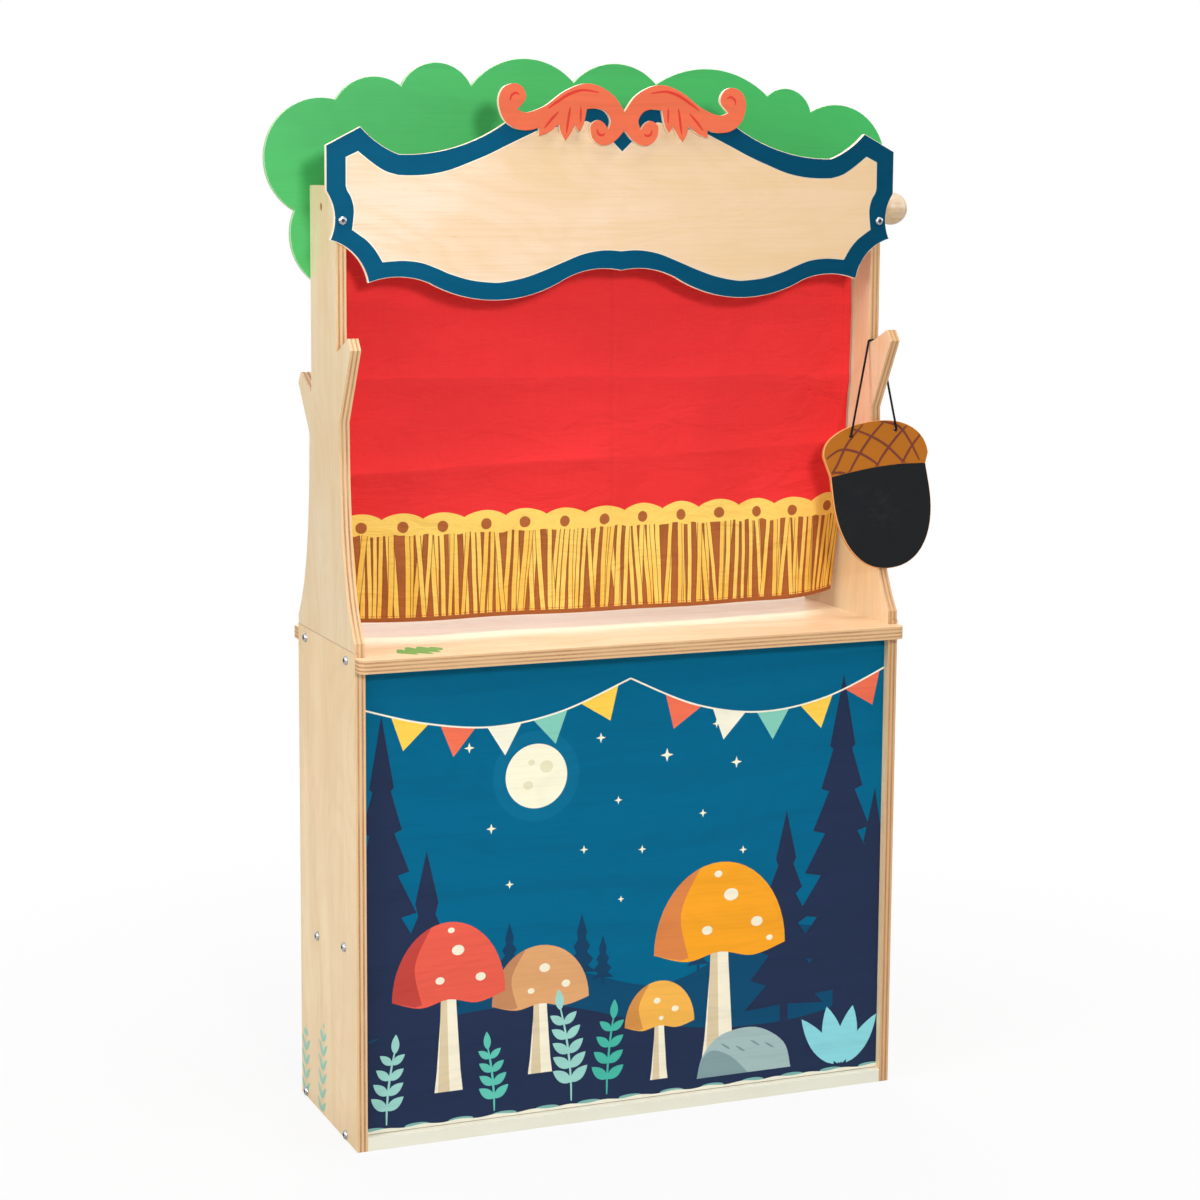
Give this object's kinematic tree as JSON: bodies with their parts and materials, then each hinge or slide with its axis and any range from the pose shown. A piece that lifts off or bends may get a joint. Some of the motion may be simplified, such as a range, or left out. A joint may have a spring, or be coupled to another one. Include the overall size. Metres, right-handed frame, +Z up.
{
  "type": "puppet theatre stand",
  "caption": "Free-standing wooden puppet theatre: cabinet with counter, posts with branch hooks, wavy sign board, leafy back board, roll-up curtain and a hanging chalk board.",
  "frame": {"origin": "on the floor, under the middle of the cabinet between its side panels and its front and back edges", "axes": "+Z up, +X to the right seen by the audience, -Y towards the audience, +Y towards the player"},
  "size_m": [0.778, 0.256, 1.2077],
  "materials": {
    "birch_ply": "clear satin lacquer on birch plywood",
    "bottom_board": "birch plywood, front edge painted cream",
    "picture_panel": "printed board, satin",
    "sign_board": "birch board with a printed border",
    "sign_ornament": "printed board, satin",
    "leaf_board": "printed board, satin",
    "round_rod": "turned wood, satin",
    "curtain_cloth": "printed woven cloth",
    "chalk_board": "matt chalk board paint, printed cap",
    "cord": "round braided cord",
    "steel": "bright zinc plate"
  },
  "bodies": {
    "stand": {"lower_side_left": "birch_ply", "lower_side_right": "birch_ply", "upper_side_left": "birch_ply", "upper_side_right": "birch_ply", "bottom_board": "bottom_board", "display_shelf": "birch_ply", "counter_board": "birch_ply", "picture_panel": "picture_panel", "sign_board": "sign_board", "sign_ornament": "sign_ornament", "leaf_board": "leaf_board", "curtain": "curtain_cloth", "bolt_counter_left_front": "steel", "nut_counter_left_front": "steel", "bolt_counter_right_front": "steel", "nut_counter_right_front": "steel", "bolt_counter_left_back": "steel", "nut_counter_left_back": "steel", "bolt_counter_right_back": "steel", "nut_counter_right_back": "steel", "bolt_shelf_left_front": "steel", "nut_shelf_left_front": "steel", "bolt_shelf_right_front": "steel", "nut_shelf_right_front": "steel", "bolt_shelf_left_back": "steel", "nut_shelf_left_back": "steel", "bolt_shelf_right_back": "steel", "nut_shelf_right_back": "steel", "bolt_bottom_left_front": "steel", "nut_bottom_left_front": "steel", "bolt_bottom_right_front": "steel", "nut_bottom_right_front": "steel", "bolt_bottom_left_back": "steel", "nut_bottom_left_back": "steel", "bolt_bottom_right_back": "steel", "nut_bottom_right_back": "steel", "bolt_sign_left": "steel", "insert_sign_left": "steel", "bolt_leaf_left_upper": "steel", "insert_leaf_left_upper": "steel", "bolt_leaf_left_lower": "steel", "insert_leaf_left_lower": "steel", "bolt_sign_right": "steel", "insert_sign_right": "steel", "bolt_leaf_right_upper": "steel", "insert_leaf_right_upper": "steel", "bolt_leaf_right_lower": "steel", "insert_leaf_right_lower": "steel"},
    "roller": {"curtain_roller": "round_rod", "curtain_knob": "round_rod"},
    "acorn": {"acorn_board": "chalk_board", "acorn_cord": "cord"}
  },
  "joints": [
    {"name": "curtain_roll", "type": "hinge", "parent": "stand", "child": "roller", "pos_m": [0, 0.005, 1.04], "axis": [-1, 0, 0], "range_deg": [0, 2160], "deforming": ["curtain"]},
    {"name": "acorn_swing", "type": "hinge", "parent": "stand", "child": "acorn", "pos_m": [0.3265, -0.0501, 0.8865], "axis": [-1, 0, 0], "range_deg": [0, 40]}
  ]
}
